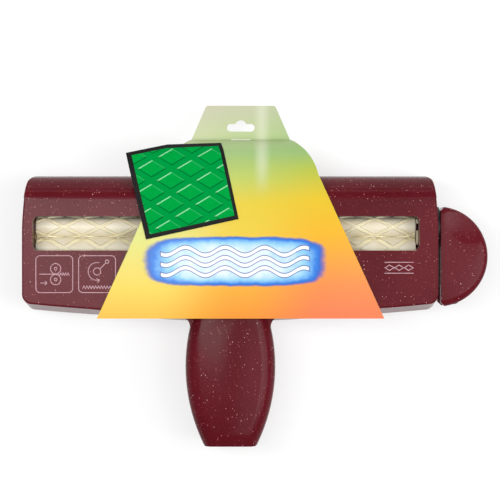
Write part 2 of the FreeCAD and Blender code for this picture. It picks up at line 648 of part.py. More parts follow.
def crank_arm():
    """Hub disc on the shaft and the bar down to the hinge knuckle, inside the grip."""
    outer_x = CRANK_FLAT_X + ARM_THICKNESS
    inner_x = CRANK_FLAT_X - ARM_HUB_OVERLAP
    z = AXIS_Z - ARM_HALF_WIDTH
    top = CRANK_AXIS_Y + ARM_HEAD_RADIUS
    eye_start = acos((outer_x - HINGE_X) / KNUCKLE_RADIUS)
    eye_turn = eye_start + pi

    def on_eye(angle):
        return V(HINGE_X + KNUCKLE_RADIUS * cos(angle), HINGE_Y + KNUCKLE_RADIUS * sin(angle), z)

    neck, left = on_eye(eye_start), on_eye(-pi)
    bend = V(inner_x, HINGE_Y + 2 * KNUCKLE_RADIUS, z)
    corners = [left, bend, V(inner_x, top, z), V(outer_x, top, z), neck]
    edges = [line(a, b) for a, b in zip(corners, corners[1:])]
    edges.append(arc(neck, on_eye(eye_start - eye_turn / 2), left))
    bar = solid(edges, V(0, 0, 2 * ARM_HALF_WIDTH))
    head = [e for e in bar.Edges if e.BoundBox.YMin > CRANK_AXIS_Y and e.BoundBox.ZLength < ARM_HALF_WIDTH]
    bar = bar.makeFillet(ARM_HEAD_ROUND, head)
    arm = bar.fuse(rod(HUB_RADIUS, HUB_X, inner_x, CRANK_AXIS_Y))
    bore = rod(SHAFT_RADIUS, HUB_X, SHAFT_RIGHT, CRANK_AXIS_Y)
    bore = bore.cut(box(0, FAR, -FAR, FAR, AXIS_Z + SHAFT_FLAT, FAR))
    screw_hole = rod(CRANK_SCREW_RADIUS, SHAFT_RIGHT, outer_x, CRANK_AXIS_Y)
    pin_hole = post(HINGE_PIN_RADIUS + BEARING_CLEARANCE, HINGE_X, HINGE_Y, 0, FAR)
    return arm.cut([bore, screw_hole, pin_hole]).removeSplitter()


def crank_screw():
    seat = CRANK_FLAT_X + ARM_THICKNESS + CRANK_WASHER_THICKNESS
    top, half = seat + CRANK_SCREW_HEAD_HEIGHT, CRANK_SCREW_SLOT_HALF
    head = rod(CRANK_SCREW_HEAD_RADIUS, seat, top, CRANK_AXIS_Y)
    shank = rod(CRANK_SCREW_RADIUS, CRANK_SCREW_TIP_X, seat, CRANK_AXIS_Y)
    slot = box(top - CRANK_SCREW_SLOT_DEPTH, top, -FAR, FAR, AXIS_Z - half, AXIS_Z + half)
    return head.fuse(shank).cut(slot)


def crank_washer():
    seat = CRANK_FLAT_X + ARM_THICKNESS
    zone = seat, seat + CRANK_WASHER_THICKNESS, CRANK_AXIS_Y
    return rod(CRANK_WASHER_RADIUS, *zone).cut(rod(CRANK_SCREW_RADIUS, *zone))


def card_middle():
    """Height of the card's fold, and the radius that each panel bends with to reach it."""
    return (CARD_FRONT_Z + CARD_BACK_Z) / 2, (CARD_FRONT_Z - CARD_BACK_Z) / 2


def card_outline():
    """The card seen from the front. Its slanted sides bow in where it bends back."""
    bend = card_middle()[1]
    shoulder = (CARD_BEND_HALF + CARD_FOLD_HALF) / 2, CARD_BEND_Y + bend * sqrt(0.5)
    ends = [(CARD_FOOT_HALF, CARD_FOOT_Y), (CARD_BEND_HALF, CARD_BEND_Y), shoulder]
    ends += [(CARD_FOLD_HALF, CARD_BEND_Y + bend), (CARD_TOP_HALF, CARD_TOP_Y)]
    right = [V(CARD_MIDDLE_X + x, y, 0) for x, y in ends]
    left = [V(CARD_MIDDLE_X - x, y, 0) for x, y in ends]
    edges = [line(right[0], right[1]), arc(*right[1:4]), line(*right[3:]), line(right[4], left[4])]
    edges += [line(left[4], left[3]), arc(*left[3:0:-1]), line(left[1], left[0]), line(left[0], right[0])]
    block = solid(edges, V(0, 0, FAR))
    top = [e for e in upright_edges(block) if e.BoundBox.YMin > SLOT_Y]
    return block.makeFillet(CARD_TOP_CORNER, top)


def hang_card():
    """One folded card: front and back panels, a bend over the body and a two-layer tab."""
    middle_z, bend = card_middle()
    t = CARD_THICKNESS

    def on_bend(radius, z_off):
        return V(-FAR, CARD_BEND_Y + sqrt(radius ** 2 - z_off ** 2), middle_z + z_off)

    front, back = V(-FAR, CARD_BEND_Y, CARD_FRONT_Z), V(-FAR, CARD_BEND_Y, CARD_BACK_Z)
    foot_front, foot_back = V(-FAR, CARD_FOOT_Y, CARD_FRONT_Z), V(-FAR, CARD_FOOT_Y, CARD_BACK_Z)
    fold_front, fold_back = on_bend(bend, t), on_bend(bend, -t)
    tab_front, tab_back = V(-FAR, CARD_TOP_Y, middle_z + t), V(-FAR, CARD_TOP_Y, middle_z - t)
    shoulder = bend * sqrt(0.5)
    thick = V(0, 0, t)
    edges = [line(foot_front, front), arc(front, on_bend(bend, shoulder), fold_front)]
    edges += [line(fold_front, tab_front), line(tab_front, tab_back), line(tab_back, fold_back)]
    edges += [arc(fold_back, on_bend(bend, -shoulder), back), line(back, foot_back)]
    edges += [line(foot_back, foot_back + thick), line(foot_back + thick, back + thick)]
    edges += [arc(back + thick, on_bend(bend - t, 0), front - thick)]
    edges += [line(front - thick, foot_front - thick), line(foot_front - thick, foot_front)]
    card = solid(edges, V(2 * FAR, 0, 0)).common(card_outline())
    return card.cut(card_holes())


def card_holes():
    """The peg slot with its round eye, and the narrow slit along the fold."""
    x = CARD_MIDDLE_X
    low, high = SLOT_Y - SLOT_HALF_HEIGHT, SLOT_Y + SLOT_HALF_HEIGHT
    slot = box(x - SLOT_HALF_WIDTH, x + SLOT_HALF_WIDTH, low, high, 0, CARD_FRONT_Z)
    slot = slot.makeFillet(SLOT_CORNER, upright_edges(slot))
    eye = post(SLOT_EYE_RADIUS, x, low + SLOT_EYE_RADIUS, 0, CARD_FRONT_Z)
    half, fold_y = SLIT_HALF_WIDTH, CARD_BEND_Y + card_middle()[1]
    slit = box(x - half, x + half, fold_y - SLIT_HEIGHT / 2, fold_y + SLIT_HEIGHT / 2, 0, CARD_FRONT_Z)
    return [slot, eye, slit]


def sample_outline(shrink):
    """The sample's corners in front view, drawn in evenly towards their middle."""
    corners = [V(x, y, 0) for x, y in SAMPLE_CORNERS]
    middle = sum(corners, V(0, 0, 0)) * (1 / len(corners))
    return [p + (middle - p) * shrink for p in corners]


def bent_with_card(corners, above, thickness):
    """A flat outline laid on the card's front and bent back with it, a height above the card."""
    middle_z, bend = card_middle()
    inner, outer = bend + above, bend + above + thickness

    def on_bend(radius, angle):
        return V(-FAR, CARD_BEND_Y + radius * sin(angle), middle_z + radius * cos(angle))

    end = SAMPLE_BEND_ANGLE
    inner_foot, outer_foot = V(-FAR, CARD_FOOT_Y, middle_z + inner), V(-FAR, CARD_FOOT_Y, middle_z + outer)
    edges = [line(inner_foot, on_bend(inner, 0))]
    edges += [arc(on_bend(inner, 0), on_bend(inner, end / 2), on_bend(inner, end))]
    edges += [line(on_bend(inner, end), on_bend(outer, end))]
    edges += [arc(on_bend(outer, end), on_bend(outer, end / 2), on_bend(outer, 0))]
    edges += [line(on_bend(outer, 0), outer_foot), line(outer_foot, inner_foot)]
    bent = solid(edges, V(2 * FAR, 0, 0))
    return bent.common(prism(corners, V(0, 0, FAR)))


def sample_mount():
    return bent_with_card(sample_outline(0), 0, MOUNT_THICKNESS)


def sample_sheet():
    """The crimped sample on its black mount, which shows round it as a border."""
    return bent_with_card(sample_outline(SAMPLE_SHRINK), MOUNT_THICKNESS, SAMPLE_THICKNESS)


def idler_shaft():
    return rod(SHAFT_RADIUS, SHAFT_LEFT, GEAR_X + GEAR_WIDTH, -CRANK_AXIS_Y)


def hinge_pin():
    foot_z = AXIS_Z - CRANK_HALF_DEPTH + HINGE_PIN_SUNK
    return post(HINGE_PIN_RADIUS, HINGE_X, HINGE_Y, foot_z, HINGE_PIN_TOP)


def main():
    os.makedirs("parts", exist_ok=True)
    save("front_shell", front_shell())
    save("back_shell", back_shell())
    save("shell_screws", shell_screws())
    save("left_bearing_bracket", bearing_bracket(LEFT_BRACKET_X, 1))
    save("right_bearing_bracket", bearing_bracket(RIGHT_BRACKET_X, -1))
    save("bracket_screws", bracket_screws())
    save("thrust_washers", thrust_washers())
    save("upper_roller", upper_roller())
    save("lower_roller", lower_roller())
    save("drive_shaft", drive_shaft())
    save("idler_shaft", idler_shaft())
    save("drive_gear", spur_gear(CRANK_AXIS_Y, 90))
    save("idler_gear", spur_gear(-CRANK_AXIS_Y, 90 + 180 / GEAR_TEETH))
    save("crank_arm", crank_arm())
    save("crank_washer", crank_washer())
    save("crank_screw", crank_screw())
    save("crank_grip", crank_grip())
    save("crank_hinge_pin", hinge_pin())
    save("hang_card", hang_card())
    save("sample_mount", sample_mount())
    save("sample_sheet", sample_sheet())


main()
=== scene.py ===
import math

import bmesh
import bpy
import numpy as np
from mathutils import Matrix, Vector
from mathutils.geometry import convex_hull_2d


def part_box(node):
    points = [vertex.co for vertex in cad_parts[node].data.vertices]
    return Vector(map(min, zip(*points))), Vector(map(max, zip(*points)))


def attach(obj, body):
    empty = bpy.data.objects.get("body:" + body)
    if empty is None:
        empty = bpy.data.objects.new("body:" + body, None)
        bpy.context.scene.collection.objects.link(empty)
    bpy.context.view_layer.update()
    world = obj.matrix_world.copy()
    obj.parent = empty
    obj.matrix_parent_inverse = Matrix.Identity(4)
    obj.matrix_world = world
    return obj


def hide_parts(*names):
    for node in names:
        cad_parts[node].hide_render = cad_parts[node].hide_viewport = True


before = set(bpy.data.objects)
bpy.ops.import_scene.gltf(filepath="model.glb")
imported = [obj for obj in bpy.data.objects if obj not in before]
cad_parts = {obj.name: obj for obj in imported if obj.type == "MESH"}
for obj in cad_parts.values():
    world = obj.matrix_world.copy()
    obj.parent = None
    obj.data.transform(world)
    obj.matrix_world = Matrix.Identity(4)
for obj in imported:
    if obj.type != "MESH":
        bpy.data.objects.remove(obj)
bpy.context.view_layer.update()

# The casing's face and middle, and the card's front, in metres
FACE_Z = 0.0412
BODY_MIDDLE = np.array([-0.015, 0.02235])
CARD_FRONT_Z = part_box("hang_card")[1][2]

# The photograph's width, in pixels and in metres at the card's front
PHOTO_PIXELS = 500
PHOTO_WIDTH = 0.2925
METRES_PER_PIXEL = PHOTO_WIDTH / PHOTO_PIXELS

# Columns and lines of the photograph: the body's middle, the middle of a raised diamond on the
# sample, the corners of the card's blend of colours, the ends of the pale stripe of painted
# reflection on it, and the middles of the blue panel and of the three prints on the casing
BODY_MIDDLE_PIXEL = (230.2, 237.4)
DIAMOND_PIXEL = (191.1, 168.7)
BLEND_LOW_LEFT_PIXEL = (150.0, 320.0)
BLEND_HIGH_RIGHT_PIXEL = (330.0, 105.0)
REFLECTION_LOW_PIXEL = (262.0, 200.0)
REFLECTION_HIGH_PIXEL = (262.0, 160.0)
PANEL_PIXEL = (235.0, 261.5)
FEEDING_PIXEL = (54.2, 274.2)
TURNING_PIXEL = (97.0, 274.2)
CRIMP_PIXEL = (399.2, 267.8)

# The camera looks straight down, and its lens gives the photograph's width at the plane. The
# sensor's width is in millimetres, and the rest in metres.
CAMERA_PLACE = (-0.0034, 0.01495, 1.1418)
PHOTO_PLANE_Z = 0.0418
SENSOR_WIDTH = 36.0
CAMERA_REACH = 20

# The studio, in metres and watts: each light's place, the point that it faces, its size and power
WORLD_STRENGTH = 0.3
FLOOR_REACH = 6.0
LIGHTS = {
    "left_light": ((-0.47, 0.12, 1.2), (0, 0, 0), (0.32, 0.9), 7.5),
    "right_light": ((0.85, -0.1, 1.0), (0, 0, 0), (0.7, 0.9), 6.5),
    "front_light": ((0.6, -0.1, 1.8), (0.1, 0, 0), (1.0, 1.0), 6.5),
    "top_light": ((-0.2, 1.3, 0.45), (0, 0, 0), (1.4, 0.4), 2.5),
}

# Edges that turn by more than this stay sharp, and points nearer than this are one
SHARP_ANGLE = math.radians(30)
WELD_DISTANCE = 1e-6

# Glitter in the maroon plastic, in cells to a metre, and a turned part's rings, in radians to a metre
GLITTER_CELLS = 820.0
FINE_GLITTER_CELLS = 1300.0
RING_RATE = 9000.0

# Printed lines and drawings, in metres
FRAME_LINE = 0.00042
ICON_LINE = 0.0004
PRINT_HEIGHT = 0.00004
ICON_HALF = 0.0108
ICON_ROUNDING = 0.0025

# How far back from its front the card is printed, and half the width of its pale stripe of painted
# reflection, in metres
PRINTED_DEPTH = 0.0217
REFLECTION_HALF_WIDTH = 0.006

# The blue panel printed on the card: half its size in metres, and its waves in shares of that
PANEL_HALF_WIDTH = 0.0515
PANEL_HALF_HEIGHT = 0.0142
PANEL_POWER = 4
WAVE_RATE = 14.0
WAVE_HEIGHT = 0.16
WAVE_GAP = 0.42

# The crimped sample: the two ways along the sides of a lattice cell, down and up to the right, in
# metres. A raised diamond's top and foot are shares of a side from its middle.
DIAMOND_SIDES = np.array([[0.0112, 0.0117], [-0.00695, 0.00705]])
DIAMOND_TOP = 0.32
DIAMOND_FOOT = 0.36
SAMPLE_CELLS = 6
RELIEF = 0.00022
PAPER_THICKNESS = 0.00006

# The mount behind the sample, and its grid
MOUNT_THICKNESS = 0.0002
MOUNT_COLUMNS = 3
MOUNT_ROWS = 60

# Both bend back with the card past a line, round an axis at the height of the fold, in metres.
# Their top edges rise to a corner, and no point goes further than a share of the bend's radius.
BEND_Y = 0.05935
FOLD_Z = 0.02165
BEND_SHARE = 0.98
SAMPLE_TOP_BEND = (-0.0525, 0.0748)
MOUNT_TOP_BEND = (-0.0520, 0.0772)

# The foot of the casing drops towards its ends, from a reach out of the middle, and leans out from
# the face down to the parting line. Both end at a line that is higher at the ends. In metres, with
# the bow in metres to a square metre.
FOOT_REACH = 0.0786
FOOT_BOW = 0.42
FOOT_DRAFT = 0.0012
PARTING_Z = 0.018
DRAFT_START = 0.06
DRAFT_END = 0.08
FOOT_LINE = -0.032
FOOT_LINE_RISE = 0.008
FOOT_RISE_START = 0.104
FOOT_RISE_END = 0.110
FOOT_FADE = 0.003

# The casing's sides lean in towards the top, by this much at a height over the start, in metres
LEAN_START = 0.005
LEAN_HEIGHT = 0.025
LEAN_POWER = 1.5
LEAN_CUTS = 7
SIDE_LEAN = 0.002
SIDE_START = 0.1155
SIDE_END = 0.1185

# The rollers' lattice, in metres: its pitch along X, its rows round a roller, a crossing's place,
# the distance square to a band as a share of that along X, and how far a band's edges fade
LATTICE_PITCH = 0.02167
LATTICE_ROWS = 6
FIRST_CROSSING_X = -0.1138
LATTICE_SLANT = 0.46
LATTICE_EDGE = 0.0001


def rgb(red, green, blue):
    """A display colour of 0 to 255 as linear light, by the usual display curve."""
    share = np.array([red, green, blue]) / 255
    linear = np.where(share <= 0.04045, share / 12.92, ((share + 0.055) / 1.055) ** 2.4)
    return (*linear.tolist(), 1.0)


def photo_place(pixel):
    """X and Y at a pixel of the photograph, on the card's front."""
    column, line = pixel
    x = BODY_MIDDLE[0] + (column - BODY_MIDDLE_PIXEL[0]) * METRES_PER_PIXEL
    y = BODY_MIDDLE[1] + (BODY_MIDDLE_PIXEL[1] - line) * METRES_PER_PIXEL
    return x, y


DIAMOND_X, DIAMOND_Y = photo_place(DIAMOND_PIXEL)


class Value:
    """A number that varies over a surface. Sums, products and comparisons add their Math nodes."""

    def __init__(self, paint, socket):
        self.paint = paint
        self.socket = socket

    def maths(self, operation, *others):
        return self.paint.maths(operation, self, *others)

    def __add__(self, other):
        return self.maths("ADD", other)

    def __sub__(self, other):
        return self.maths("SUBTRACT", other)

    def __rsub__(self, other):
        return self.paint.maths("SUBTRACT", other, self)

    def __mul__(self, other):
        return self.maths("MULTIPLY", other)

    def __truediv__(self, other):
        return self.maths("DIVIDE", other)

    def __pow__(self, other):
        return self.maths("POWER", other)

    def __gt__(self, other):
        return self.maths("GREATER_THAN", other)

    def __lt__(self, other):
        return self.maths("LESS_THAN", other)

    def __abs__(self):
        return self.maths("ABSOLUTE")

    __radd__ = __add__
    __rmul__ = __mul__

    def sin(self):
        return self.maths("SINE")

    def fraction(self):
        return self.maths("FRACT")

    def clamp(self):
        return self.paint.node("ShaderNodeClamp", {}, {"Value": self})["Result"]

    def fade(self, start, end):
        """0 at start and 1 at end, whichever is larger, with an eased way between them."""
        if start > end:
            return 1.0 - self.fade(end, start)
        settings = {"interpolation_type": "SMOOTHSTEP"}
        links = {"Value": self, "From Min": start, "From Max": end}
        return self.paint.node("ShaderNodeMapRange", settings, links)["Result"]


class Paint:
    """One material: a Principled shader and the nodes that feed it."""

    def __init__(self, name, **constants):
        self.material = bpy.data.materials.new(name)
        self.material.use_nodes = True
        self.tree = self.material.node_tree
        self.shader = self.tree.nodes["Principled BSDF"]
        for socket, value in constants.items():
            self.shader.inputs[socket.replace("_", " ")].default_value = value

    def node(self, kind, settings, links):
        """Adds a node, sets its settings and then its sockets, and gives its outputs by name."""
        made = self.tree.nodes.new(kind)
        for key, value in settings.items():
            if key == "stops":
                ramp = made.color_ramp
                while len(ramp.elements) < len(value):
                    ramp.elements.new(0.5)
                for element, (place, colour) in zip(ramp.elements, value):
                    element.position = place
                    element.color = colour
            else:
                setattr(made, key, value)
        for key, value in links.items():
            socket = made.inputs[key]
            if isinstance(value, Value):
                self.tree.links.new(value.socket, socket)
            else:
                socket.default_value = value
        return {output.name: Value(self, output) for output in made.outputs if output.enabled}

    def maths(self, operation, *values):
        return self.node("ShaderNodeMath", {"operation": operation}, dict(enumerate(values)))["Value"]

    def place(self):
        """The point's own X, Y and Z in metres, which ride with the piece."""
        outputs = self.node("ShaderNodeTexCoord", {}, {})
        self.point = outputs["Object"]
        parts = self.node("ShaderNodeSeparateXYZ", {}, {"Vector": self.point})
        return parts["X"], parts["Y"], parts["Z"]

    def noise(self, scale, detail=2.0, rough=0.5):
        """Soft clouds between 0 and 1, about as many to a metre as the scale."""
        links = {"Vector": self.point, "Scale": scale, "Detail": detail, "Roughness": rough}
        return self.node("ShaderNodeTexNoise", {}, links)["Fac"]

    def cells(self, scale):
        """Scattered points: the distance to the nearest one, and two random numbers of its own."""
        links = {"Vector": self.point, "Scale": scale}
        outputs = self.node("ShaderNodeTexVoronoi", {}, links)
        random = self.node("ShaderNodeSeparateColor", {}, {"Color": outputs["Color"]})
        return outputs["Distance"], random["Red"], random["Green"]

    def mix(self, first, second, share):
        """Blends two colours. The Mix node's sockets for colours are numbers 6 and 7."""
        made = self.node("ShaderNodeMix", {"data_type": "RGBA"}, {0: share, 6: first, 7: second})
        return made["Result"]

    def ramp(self, share, stops):
        """A colour from a row of stops, each a place from 0 to 1 and its colour."""
        return self.node("ShaderNodeValToRGB", {"stops": stops}, {"Fac": share})["Color"]

    def feed(self, socket, value):
        """Links a value to one of the shader's own sockets."""
        self.tree.links.new(value.socket, self.shader.inputs[socket])

    def bump(self, height, strength, distance):
        """Tilts the shading as if the surface rose by the height times the distance, in metres."""
        links = {"Height": height, "Strength": strength, "Distance": distance}
        self.feed("Normal", self.node("ShaderNodeBump", {}, links)["Normal"])


def maroon_plastic():
    """Glossy maroon plastic with pale glitter moulded in, sparse and of many sizes.

    A flake is where the nearest cell's point is closer than a radius that grows with its tint. Half
    of the cells have one. The gloss grows by the fourth power as the surface turns from the eye.
    """
    paint = Paint("maroon_glitter_plastic", Specular_IOR_Level=0.0, Coat_Roughness=0.2)
    paint.place()
    cloud = paint.noise(scale=18.0, detail=3.0)
    base = paint.mix(rgb(88, 16, 25), rgb(98, 22, 32), cloud.fade(0.35, 0.65))
    distance, pick, tint = paint.cells(GLITTER_CELLS)
    flake = (distance < 0.12 + 0.09 * tint) * (pick > 0.5)
    fine_distance, fine_pick, _ = paint.cells(FINE_GLITTER_CELLS)
    fine_flake = (fine_distance < 0.22) * (fine_pick > 0.6) * 0.3
    flake_tints = [
        (0.0, rgb(134, 46, 54)), (0.6, rgb(172, 82, 84)),
        (0.9, rgb(204, 134, 130)), (1.0, rgb(236, 200, 198)),
    ]
    coloured = paint.mix(base, rgb(160, 80, 86), fine_flake)
    paint.feed("Base Color", paint.mix(coloured, paint.ramp(tint, flake_tints), flake))
    turned = paint.node("ShaderNodeLayerWeight", {}, {"Blend": 0.5})["Facing"]
    paint.feed("Coat Weight", 0.22 + 0.9 * turned ** 4)
    smear = paint.noise(scale=60.0, detail=4.0, rough=0.6)
    paint.feed("Roughness", 0.3 + 0.1 * smear)
    paint.bump(paint.noise(scale=2200.0), strength=0.08, distance=0.0001)
    return paint.material


def cream_plastic(name, light, dark):
    """Satin cream plastic, a little warmer in patches, with a faint moulded grain."""
    paint = Paint(name, IOR=1.48, Coat_Weight=0.12, Coat_Roughness=0.25)
    paint.place()
    cloud = paint.noise(scale=90.0, detail=3.0)
    paint.feed("Base Color", paint.mix(light, dark, cloud.fade(0.3, 0.75)))
    paint.feed("Roughness", 0.38 + 0.12 * cloud)
    paint.bump(paint.noise(scale=1500.0), strength=0.12, distance=0.0001)
    return paint.material


def roller_plastic(name, node, band, edge_shade):
    """Cream plastic with a painted highlight, slightly lighter and yellower bands along the lattice,
    and a thin brown line of painted shade down each band's sides.

    The band given is half a band's width in metres, and the last argument is the strength of the
    painted shade line. A point's place round the roller is counted in rows of 60 degrees. The rise is
    half for each row, by the tangent of the angle from the row's middle. Both families of bands are
    where that rise, added to or taken from the place along X, is whole.
    """
    low, high = (np.array(corner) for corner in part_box(node))
    axis = (low + high) / 2
    paint = Paint(name, IOR=1.48, Coat_Weight=0.15, Coat_Roughness=0.2)
    x, y, z = paint.place()
    rows = paint.maths("ARCTAN2", y - axis[1], z - axis[2]) * (LATTICE_ROWS / (2 * math.pi))
    part = rows.fraction()
    bow = paint.maths("TANGENT", (part - 0.5) * (2 * math.pi / LATTICE_ROWS))
    rise = (rows - part) * 0.5 + bow * (0.25 / math.tan(math.pi / LATTICE_ROWS)) + 0.25
    along = (x - FIRST_CROSSING_X) / LATTICE_PITCH
    one_way = abs((along + rise).fraction() - 0.5)
    other_way = abs((along - rise).fraction() - 0.5)
    near = (0.5 - paint.maths("MAXIMUM", one_way, other_way)) * (LATTICE_PITCH * LATTICE_SLANT)
    # A thin line just outside each band's edge, where brown is painted as shade
    shade_inside = near.fade(band - LATTICE_EDGE, band)
    shade_outside = near.fade(band + 4 * LATTICE_EDGE, band + LATTICE_EDGE)
    cloud = paint.noise(scale=90.0, detail=3.0)
    body = paint.mix(rgb(246, 239, 214), rgb(238, 228, 196), cloud.fade(0.3, 0.75))
    # The bands are painted a little lighter as a highlight, and the line beside them brown as shade
    colour = paint.mix(body, rgb(250, 242, 206), near.fade(band, band - 2 * LATTICE_EDGE))
    paint.feed("Base Color", paint.mix(colour, rgb(150, 130, 92), shade_inside * shade_outside * edge_shade))
    paint.feed("Roughness", 0.36 + 0.12 * cloud)
    paint.bump(paint.noise(scale=1500.0), strength=0.12, distance=0.0001)
    return paint.material


def turned_metal(name, light, dark, rough):
    """Metal turned on a lathe: fine rings along X, and dull patches."""
    paint = Paint(name, Metallic=1.0)
    x, _, _ = paint.place()
    rings = (x * RING_RATE).sin() * 0.5 + 0.5
    patch = paint.noise(scale=220.0, detail=3.0)
    paint.feed("Base Color", paint.mix(light, dark, (rings * 0.4 + patch * 0.6).fade(0.2, 0.8)))
    paint.feed("Roughness", rough + 0.15 * patch)
    paint.bump(rings, strength=0.1, distance=0.00005)
    return paint.material


def plain_plastic(name, light, dark, rough):
    """Moulded plastic with a fine grain and a slight change of tone."""
    paint = Paint(name, IOR=1.5)
    paint.place()
    cloud = paint.noise(scale=120.0, detail=3.0)
    paint.feed("Base Color", paint.mix(light, dark, cloud.fade(0.3, 0.7)))
    paint.feed("Roughness", rough + 0.12 * cloud)
    paint.bump(paint.noise(scale=3000.0), strength=0.15, distance=0.00008)
    return paint.material


def paper(name, light, dark):
    """Matt paper with its fibres."""
    paint = Paint(name, Specular_IOR_Level=0.15)
    paint.place()
    fibre = paint.noise(scale=900.0, detail=4.0, rough=0.7)
    paint.feed("Base Color", paint.mix(light, dark, fibre.fade(0.3, 0.7)))
    paint.feed("Roughness", 0.5 + 0.2 * fibre)
    paint.bump(fibre, strength=0.12, distance=0.00008)
    return paint.material


def print_ink():
    """Pale pink ink, a little worn."""
    paint = Paint("pink_ink", IOR=1.45)
    paint.place()
    wear = paint.noise(scale=1300.0, detail=3.0)
    paint.feed("Base Color", paint.mix(rgb(206, 166, 174), rgb(164, 116, 126), wear.fade(0.45, 0.75)))
    paint.feed("Roughness", 0.45 + 0.15 * wear)
    return paint.material


def card_blend(paint, x, y):
    """The card's colours: green at its tab, yellow in its middle, salmon at its lower right.

    Three upright ramps, for the left side, the middle and the right side, are blended across, and
    a pale stripe of painted reflection runs up from the middle to the tab.
    """
    left_x, low_y = photo_place(BLEND_LOW_LEFT_PIXEL)
    right_x, high_y = photo_place(BLEND_HIGH_RIGHT_PIXEL)
    left = [
        (0.0, rgb(240, 180, 50)), (0.14, rgb(238, 204, 76)), (0.38, rgb(216, 218, 124)),
        (0.62, rgb(190, 200, 116)), (0.78, rgb(176, 192, 140)), (0.87, rgb(200, 202, 168)),
        (1.0, rgb(202, 198, 176)),
    ]
    middle = [
        (0.0, rgb(238, 146, 56)), (0.15, rgb(238, 172, 64)), (0.38, rgb(232, 200, 72)),
        (0.54, rgb(224, 200, 66)), (0.66, rgb(186, 200, 100)), (0.78, rgb(158, 190, 124)),
        (0.87, rgb(186, 200, 150)), (1.0, rgb(196, 198, 168)),
    ]
    right = [
        (0.0, rgb(236, 124, 84)), (0.16, rgb(240, 142, 80)), (0.4, rgb(238, 180, 48)),
        (0.57, rgb(226, 192, 48)), (0.7, rgb(180, 190, 72)), (0.78, rgb(150, 186, 112)),
        (0.87, rgb(160, 190, 126)), (1.0, rgb(168, 190, 138)),
    ]
    upwards = ((y - low_y) / (high_y - low_y)).clamp()
    across = (x - left_x) / (right_x - left_x)
    colour = paint.mix(paint.ramp(upwards, left), paint.ramp(upwards, middle), across.fade(0.0, 0.5))
    colour = paint.mix(colour, paint.ramp(upwards, right), across.fade(0.5, 1.0))
    # Painted reflection: a pale stripe from the middle up to the tab
    reflection_x, reflection_low = photo_place(REFLECTION_LOW_PIXEL)
    _, reflection_high = photo_place(REFLECTION_HIGH_PIXEL)
    painted_reflection = abs(x - reflection_x).fade(REFLECTION_HALF_WIDTH, 0.0) * y.fade(reflection_low, reflection_high)
    return paint.mix(colour, rgb(226, 228, 206), painted_reflection * 0.45)


def blue_panel(paint, x, y):
    """A soft blue panel with a pale middle and three white waves, and how much of it shows.

    Its edge is where the powers of both shares of its half size, with some noise, add up to about
    one. A wave is where the share of the height, plus a sine of the share of the width, is near 0
    or near the gap either way.
    """
    middle_x, middle_y = photo_place(PANEL_PIXEL)
    across = (x - middle_x) / PANEL_HALF_WIDTH
    upwards = (y - middle_y) / PANEL_HALF_HEIGHT
    ragged = paint.noise(scale=150.0) - 0.5
    edge = abs(across) ** PANEL_POWER + abs(upwards) ** PANEL_POWER + ragged * 0.5
    tones = [
        (0.0, rgb(226, 240, 250)), (0.35, rgb(150, 208, 244)),
        (0.7, rgb(62, 132, 222)), (1.0, rgb(56, 92, 190)),
    ]
    colour = paint.ramp(edge.clamp(), tones)
    swell = upwards + (across * WAVE_RATE).sin() * WAVE_HEIGHT
    wave = abs(swell)
    for step in (-WAVE_GAP, WAVE_GAP):
        wave = paint.maths("MINIMUM", wave, abs(swell + step))
    dark_rim = wave.fade(0.12, 0.09) * abs(across).fade(0.86, 0.84)
    white_line = wave.fade(0.085, 0.06) * abs(across).fade(0.85, 0.83)
    colour = paint.mix(colour, rgb(48, 70, 150), dark_rim)
    colour = paint.mix(colour, rgb(250, 250, 252), white_line)
    return colour, edge.fade(1.25, 0.85)


def card_print():
    """Printed card with a blue panel in the middle of its lower half, and bare white card behind."""
    paint = Paint("printed_card", Specular_IOR_Level=0.05, Coat_Weight=0.2, Coat_Roughness=0.1)
    x, y, z = paint.place()
    colour = card_blend(paint, x, y)
    panel, shown = blue_panel(paint, x, y)
    colour = paint.mix(colour, panel, shown)
    colour = paint.mix(colour, rgb(245, 245, 240), z < CARD_FRONT_Z - PRINTED_DEPTH)
    paint.feed("Base Color", colour)
    fibre = paint.noise(scale=500.0, detail=3.0)
    paint.feed("Roughness", 0.34 + 0.1 * fibre)
    paint.bump(fibre, strength=0.05, distance=0.0001)
    return paint.material


def crimped_paper():
    """Green paper whose raised diamonds have painted highlights on the slopes above, most on the left,
    and painted shade on the slopes below.

    Each slope's tone is strongest halfway between the diamond's top and its foot. It fades out a
    little under a slope's width away, and ends where the other share of the cell passes the foot.
    """
    paint = Paint("crimped_green_paper", Specular_IOR_Level=0.0)
    x, y, _ = paint.place()
    from_left = x - DIAMOND_X
    from_foot = y - DIAMOND_Y
    shares = [from_left * row[0] + from_foot * row[1] for row in np.linalg.inv(DIAMOND_SIDES).tolist()]
    down, up = [(share + 0.5).fraction() - 0.5 for share in shares]
    fibre = paint.noise(scale=900.0, detail=4.0, rough=0.7)
    colour = paint.mix(rgb(4, 162, 68), rgb(0, 152, 60), fibre.fade(0.3, 0.7))
    # The lower bands between the diamonds are painted a little darker, as shade
    band = paint.maths("MAXIMUM", abs(down), abs(up)).fade(DIAMOND_TOP, DIAMOND_FOOT)
    colour = paint.mix(colour, rgb(0, 148, 64), band)
    slope = (DIAMOND_TOP + DIAMOND_FOOT) / 2
    reach = (DIAMOND_FOOT - DIAMOND_TOP) * 0.9
    # Painted highlights on the upper slopes and painted shade on the lower ones
    sides = [
        (down, -slope, up, rgb(168, 240, 190), 0.85), (up, slope, down, rgb(60, 190, 110), 0.5),
        (down, slope, up, rgb(4, 84, 44), 0.85), (up, -slope, down, rgb(4, 96, 48), 0.75),
    ]
    for share, place, other, tone, strength in sides:
        line = abs(share - place).fade(reach, reach * 0.3) * (abs(other) < DIAMOND_FOOT)
        colour = paint.mix(colour, tone, line * strength)
    paint.feed("Base Color", colour)
    paint.feed("Roughness", 0.45 + 0.2 * fibre)
    paint.bump(fibre, strength=0.1, distance=0.00008)
    return paint.material


